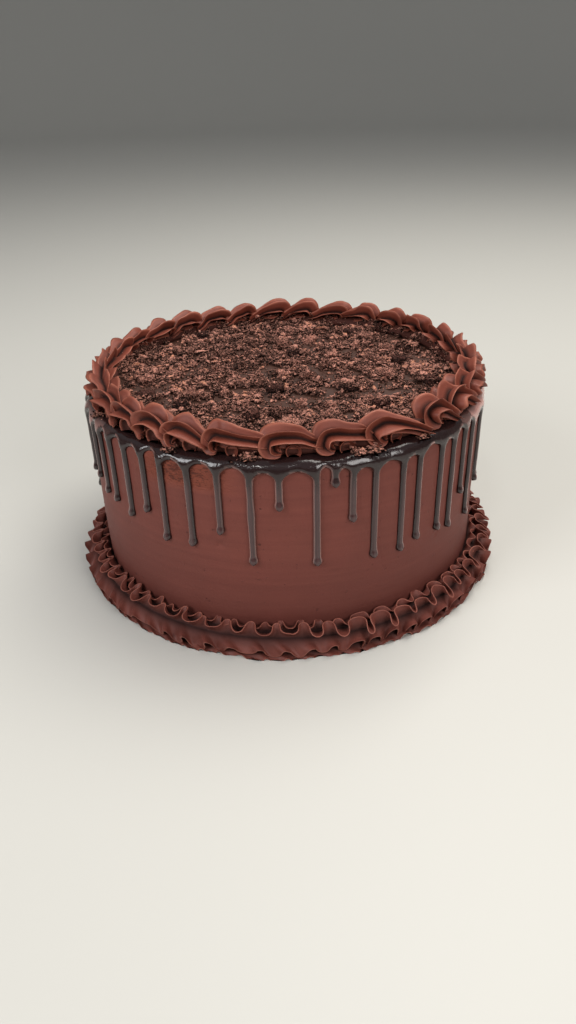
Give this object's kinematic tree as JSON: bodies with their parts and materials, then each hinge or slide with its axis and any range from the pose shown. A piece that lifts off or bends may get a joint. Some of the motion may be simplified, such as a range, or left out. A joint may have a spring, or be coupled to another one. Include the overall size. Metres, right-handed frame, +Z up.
{
  "type": "chocolate drip cake",
  "caption": "Whole round frosted chocolate cake with a poured ganache lid dripping down the wall, cake crumbs on top, a piped shell border round the rim and a ruffled border round the foot.",
  "frame": {"origin": "centre of the flat base", "axes": "+Z up, -Y towards the side shown in the picture, +X to its right"},
  "size_m": [0.2386, 0.2386, 0.1134],
  "materials": {
    "frosting": "matte chocolate buttercream, scraped smooth",
    "piping": "satin piped chocolate buttercream",
    "ganache": "glossy near-black chocolate ganache",
    "crumb": "rough dry chocolate cake crumb"
  },
  "bodies": {
    "root": {"cake": "frosting", "ganache": "ganache", "top_border": "piping", "foot_border": "piping", "chunk_01": "crumb", "chunk_02": "crumb", "chunk_03": "crumb", "chunk_04": "crumb", "chunk_05": "crumb", "chunk_06": "crumb", "chunk_07": "crumb", "chunk_08": "crumb", "chunk_09": "crumb", "chunk_10": "crumb", "chunk_11": "crumb", "chunk_12": "crumb"}
  },
  "joints": []
}
